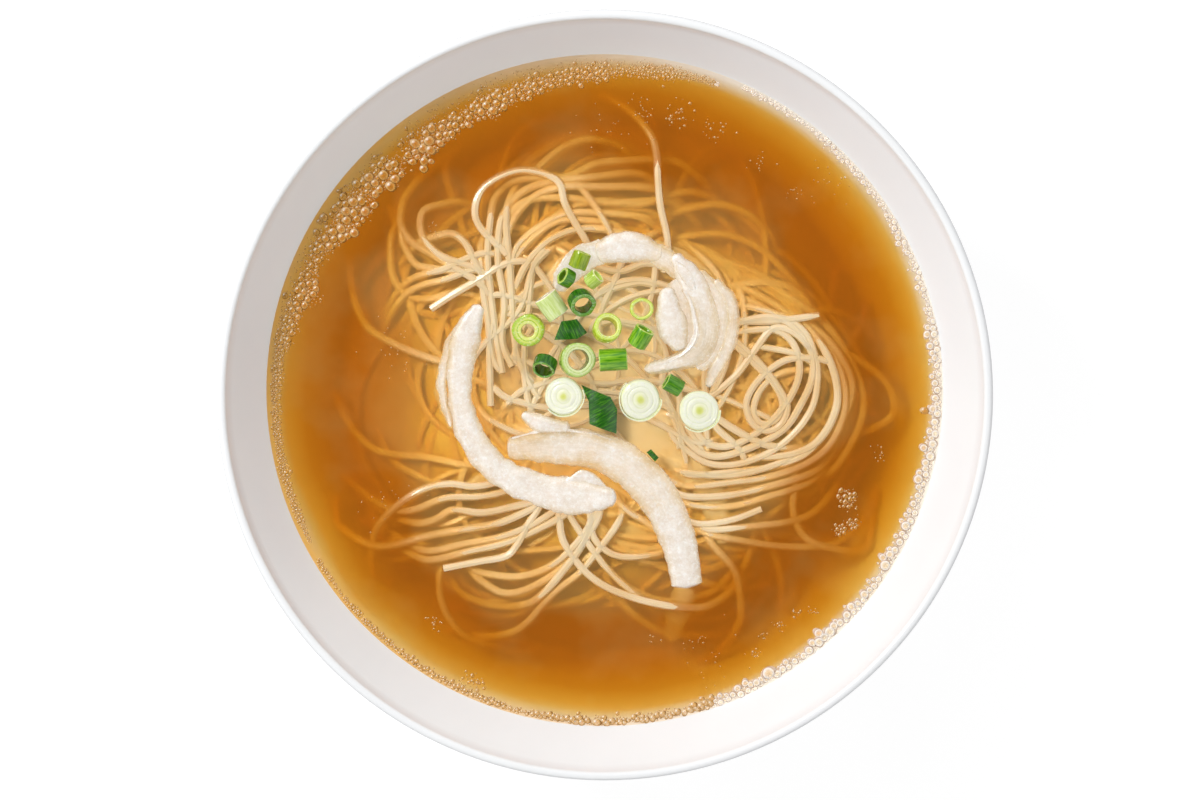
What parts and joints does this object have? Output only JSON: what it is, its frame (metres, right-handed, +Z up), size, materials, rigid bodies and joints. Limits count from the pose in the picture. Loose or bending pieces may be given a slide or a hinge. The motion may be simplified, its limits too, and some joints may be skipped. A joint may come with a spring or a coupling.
{
  "type": "bowl of noodle soup",
  "caption": "Thin noodles in clear brown broth, with onion strips and cut spring onion on top, in a wide white porcelain bowl on a foot ring.",
  "frame": {"origin": "centre of the foot ring's underside, on the surface that the bowl stands on", "axes": "+Z up along the bowl's axis; +Y away from a person who faces the bowl, +X to their right"},
  "size_m": [0.21, 0.21, 0.0758],
  "materials": {
    "porcelain": "white glazed porcelain, glossy",
    "broth": "clear brown broth, wet and see-through",
    "noodle": "boiled thin wheat noodle, moist, slightly see-through",
    "onion": "cooked white onion, wet, slightly see-through",
    "spring_onion_green": "green spring onion leaf, wet",
    "spring_onion_stem": "pale green to white spring onion stem, wet"
  },
  "bodies": {
    "root": {"bowl": "porcelain", "broth": "broth", "noodles": "noodle", "onion_strip_left": "onion", "onion_strip_bottom": "onion", "onion_strip_top": "onion", "onion_strip_right": "onion", "onion_strip_edge": "onion", "onion_chunk": "onion", "onion_lump": "onion", "spring_onion_01": "spring_onion_green", "spring_onion_02": "spring_onion_green", "spring_onion_03": "spring_onion_green", "spring_onion_04": "spring_onion_green", "spring_onion_05": "spring_onion_stem", "spring_onion_06": "spring_onion_stem", "spring_onion_07": "spring_onion_green", "spring_onion_08": "spring_onion_stem", "spring_onion_09": "spring_onion_green", "spring_onion_10": "spring_onion_stem", "spring_onion_11": "spring_onion_green", "spring_onion_12": "spring_onion_stem", "spring_onion_13": "spring_onion_green", "spring_onion_14": "spring_onion_stem", "spring_onion_15": "spring_onion_green", "spring_onion_16": "spring_onion_stem", "spring_onion_17": "spring_onion_green", "spring_onion_18": "spring_onion_stem"}
  },
  "joints": []
}
